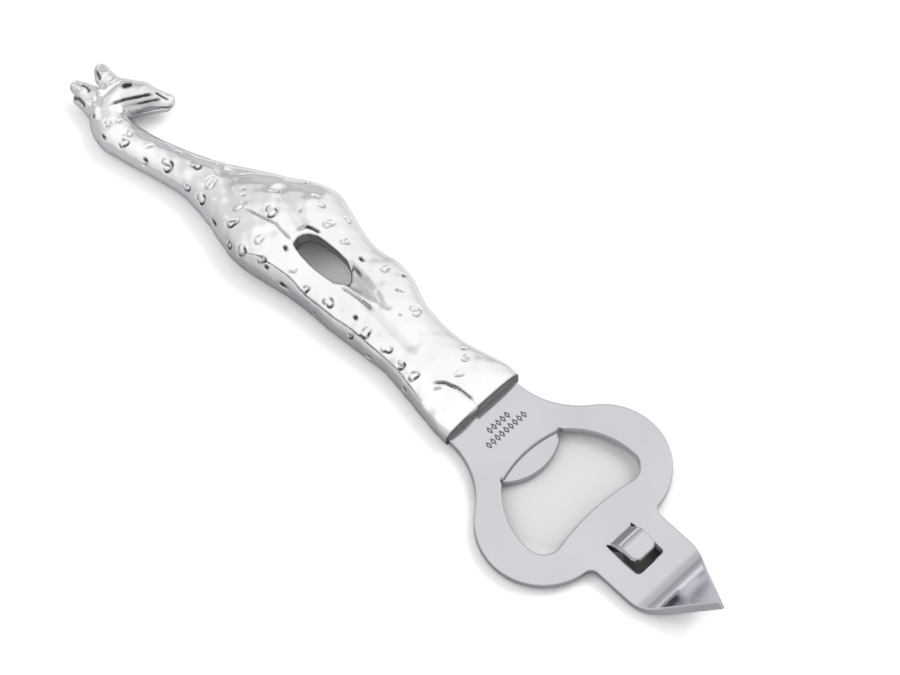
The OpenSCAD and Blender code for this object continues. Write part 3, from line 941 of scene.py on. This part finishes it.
def cast_finish():
    """Bright tumbled casting, rougher in its recesses, and painted near black there and on the near side and
    end wall as shade.
    """
    s = Shader("bright_casting", (0.93, 0.93, 0.92), 1.0, 0.14)
    cloud = s.noise(0.07, 2)
    fine = s.noise(1.4, 4)
    deep = s.remap(s.attribute("dull_and_painted_shade"), 0.05, 0.95, 0, 1)
    colour = s.mix(s.remap(cloud, 0.35, 0.65, 0, 1), (0.84, 0.84, 0.86), (0.96, 0.955, 0.95))
    # painted shade: the colour goes near black where the attribute is high
    colour = s.mix(deep, colour, (0.06, 0.055, 0.055))
    rough = s.math("ADD", s.remap(fine, 0.3, 0.7, 0.10, 0.17), s.math("MULTIPLY", deep, 0.22))
    scuffs = s.noise(0.9, 5, (0.25, 1.6, 1.6))
    normal = s.bump(scuffs, 0.012)
    normal = s.bump(s.noise(5.0, 3), 0.004, normal)
    return s.finish(colour, rough, normal)


def blade_finish():
    """Satin stainless sheet with faint rolling lines along it."""
    s = Shader("satin_sheet", (0.64, 0.63, 0.66), 1.0, 0.2)
    cloud = s.noise(0.05, 2)
    lines = s.noise(2.2, 4, (0.08, 1.8, 0.4))
    specks = s.noise(3.5, 2)
    colour = s.mix(s.remap(cloud, 0.35, 0.65, 0, 1), (0.59, 0.58, 0.62), (0.63, 0.625, 0.655))
    colour = s.mix(s.remap(specks, 0.70, 0.80, 0, 1), colour, (0.57, 0.56, 0.58))
    rough = s.math("ADD", s.remap(lines, 0.3, 0.7, 0.09, 0.14), s.remap(cloud, 0.3, 0.7, 0, 0.03))
    normal = s.bump(lines, 0.0035)
    return s.finish(colour, rough, normal)


def edge_finish():
    """Sheared edge of the sheet: a rough torn band, painted dark as the shade it mirrors."""
    s = Shader("sheared_edge_painted_shade", (0.24, 0.23, 0.25), 1.0, 0.34)
    torn = s.noise(2.4, 4, (1, 1, 0.5))
    grain = s.noise(7.0, 3)
    colour = s.mix(s.remap(torn, 0.35, 0.65, 0, 1), (0.17, 0.165, 0.18), (0.32, 0.31, 0.33))
    rough = s.remap(grain, 0.3, 0.7, 0.26, 0.44)
    return s.finish(colour, rough, s.bump(torn, 0.03))


def rim_highlight_finish():
    """The rolled-over rim of the sheet, painted brighter than the sheet as a highlight."""
    s = Shader("rim_painted_highlight", (0.92, 0.92, 0.94), 1.0, 0.16)
    highlight_patches = s.noise(1.2, 3)
    colour = s.mix(s.remap(highlight_patches, 0.35, 0.65, 0, 1), (0.84, 0.84, 0.87), (0.96, 0.96, 0.97))
    return s.finish(colour, s.remap(highlight_patches, 0.3, 0.7, 0.12, 0.22), s.bump(s.noise(6.0, 2), 0.006))


def mark_finish():
    s = Shader("etched_lines", (0.12, 0.11, 0.13), 0.6, 0.55)
    grain = s.noise(9.0, 3)
    colour = s.mix(s.remap(grain, 0.35, 0.65, 0, 1), (0.09, 0.085, 0.10), (0.20, 0.19, 0.21))
    return s.finish(colour, s.remap(grain, 0.3, 0.7, 0.45, 0.65), s.bump(grain, 0.01))


def glue_finish():
    s = Shader("set_adhesive", (0.20, 0.18, 0.16), 0.0, 0.5)
    grain = s.noise(1.6, 4)
    colour = s.mix(s.remap(grain, 0.3, 0.7, 0, 1), (0.14, 0.125, 0.11), (0.24, 0.22, 0.19))
    return s.finish(colour, s.remap(grain, 0.3, 0.7, 0.4, 0.62), s.bump(grain, 0.05))


# ---------------------------------------------------------------- stage

# The paper lies this far under the opener's flat back.
FLOOR_Z = -0.02
# Painted shade on the paper under the mouth, the slot and the belly gap: x, y, inner and outer radius, and
# brightness inside.
SHADES = [
    (LIP_X + MOUTH_L / 2 - 1, 1, 14, 20, 0.59),
    (SLOT_END - 3, 1, 3.5, 6.5, 0.08),
    (-54, 5, 2, 9, 0.6),
]


def make_floor():
    """White paper with painted shade under the openings; where the metal mirrors it, it is painted greyer as
    shade, most of all on the near side.
    """
    bpy.ops.mesh.primitive_plane_add(size=8, location=(0, 0, FLOOR_Z * MM))
    floor = bpy.context.object
    floor.name = "floor"
    s = Shader("white_paper", (0.9, 0.9, 0.9), 0.0, 0.85)
    s.main.inputs["Specular IOR Level"].default_value = 0.1
    shade = None
    for x, y, inner, outer, low in SHADES:
        away = s.add("ShaderNodeVectorMath", operation="DISTANCE")
        s.join(s.place, away.inputs[0])
        away.inputs[1].default_value = ((x + END_X) * MM, y * MM, 0)
        spot = s.remap(away.outputs["Value"], inner * MM, outer * MM, low, 1)
        shade = s.math("MULTIPLY", shade, spot) if shade else spot
    seen = s.mix(shade, (0.0, 0.0, 0.0), (0.99, 0.985, 0.99))
    split = s.add("ShaderNodeSeparateXYZ")
    s.join(s.place, split.inputs[0])
    far = s.remap(split.outputs["Y"], 0.004, 0.02, 0, 1)
    in_metal = s.mix(far, (0.40, 0.39, 0.41), (0.62, 0.61, 0.635))
    mirrored = s.add("ShaderNodeLightPath").outputs["Is Glossy Ray"]
    s.finish(s.mix(mirrored, seen, in_metal))
    floor.data.materials.append(s.material)


def aim(thing, azimuth, elevation, distance):
    """Puts it that way from the object, facing it. Azimuth 0 is +X, 90 is +Y."""
    a, e = math.radians(azimuth), math.radians(elevation)
    place = Vector((math.cos(a) * math.cos(e), math.sin(a) * math.cos(e), math.sin(e))) * distance
    thing.location = place
    thing.rotation_euler = place.to_track_quat("Z", "Y").to_euler()


def soft_box(name, azimuth, elevation, distance, wide, high, power):
    """A plain area light that the metal doesn't mirror."""
    light = bpy.data.lights.new(name, "AREA")
    light.shape = "RECTANGLE"
    light.size, light.size_y = wide, high
    light.energy = power
    holder = bpy.data.objects.new(name, light)
    scene.collection.objects.link(holder)
    aim(holder, azimuth, elevation, distance)
    holder.visible_glossy = False


def card(name, azimuth, elevation, distance, wide, high, radiance):
    """A flat card that only mirrors in the metal."""
    bpy.ops.mesh.primitive_plane_add(size=1)
    board = bpy.context.object
    board.name = name
    board.scale = (wide, high, 1)
    aim(board, azimuth, elevation, distance)
    material = bpy.data.materials.new(name)
    material.use_nodes = True
    nodes = material.node_tree.nodes
    nodes.clear()
    glow, out = nodes.new("ShaderNodeEmission"), nodes.new("ShaderNodeOutputMaterial")
    glow.inputs["Color"].default_value = (radiance, radiance, radiance * 1.02, 1)
    material.node_tree.links.new(glow.outputs[0], out.inputs["Surface"])
    board.data.materials.append(material)
    board.visible_camera = board.visible_diffuse = board.visible_shadow = False
    board.visible_transmission = board.visible_volume_scatter = False


def make_light():
    world = bpy.data.worlds.new("tent")
    world.use_nodes = True
    scene.world = world
    tree = world.node_tree
    tree.nodes.clear()
    coord = tree.nodes.new("ShaderNodeTexCoord")
    split = tree.nodes.new("ShaderNodeSeparateXYZ")
    product = tree.nodes.new("ShaderNodeMath")
    product.operation = "MULTIPLY"
    sky, out = tree.nodes.new("ShaderNodeBackground"), tree.nodes.new("ShaderNodeOutputWorld")
    tree.links.new(coord.outputs["Generated"], split.inputs[0])
    # darker low down and beyond the head
    ramps = (("Z", (0.0, 0.85, 0.70, 1.06)), ("X", (-0.50, -0.32, 0.76, 1.0)))
    for i, (axis, limits) in enumerate(ramps):
        ramp = tree.nodes.new("ShaderNodeMapRange")
        for key, number in zip(("From Min", "From Max", "To Min", "To Max"), limits):
            ramp.inputs[key].default_value = number
        tree.links.new(split.outputs[axis], ramp.inputs["Value"])
        tree.links.new(ramp.outputs["Result"], product.inputs[i])
    tree.links.new(product.outputs[0], sky.inputs["Strength"])
    tree.links.new(sky.outputs[0], out.inputs["Surface"])
    sky.inputs["Color"].default_value = (1, 1, 1, 1)
    soft_box("key", 80, 55, 3.0, 1.6, 1.6, 34)
    soft_box("fill", 235, 60, 3.0, 2.0, 2.0, 18)
    card("light_strip", 161, 8, 1.2, 0.6, 0.42, 1.15)
    card("grey_card", 154, 34, 1.2, 1.4, 0.26, 0.52)
    card("far_side_card", 78, 25, 1.5, 0.5, 1.0, 1.25)
    card("near_side_card", 196, 22, 1.3, 0.4, 0.8, 1.02)


def main():
    casting, sheet, mark, glue = cast_finish(), blade_finish(), mark_finish(), glue_finish()
    giraffe_piece = make_giraffe(casting)
    blade = make_blade([sheet, edge_finish(), rim_highlight_finish()])
    frieze = make_frieze(mark)
    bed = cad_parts["glue_bed"]
    bed.data.materials.clear()
    bed.data.materials.append(glue)
    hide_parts("giraffe_handle")
    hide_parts("opener_blade")
    for piece in (giraffe_piece, blade, frieze):
        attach(piece, "root")
    make_floor()
    make_light()
    make_camera()
    scene.view_settings.view_transform = "Standard"


main()
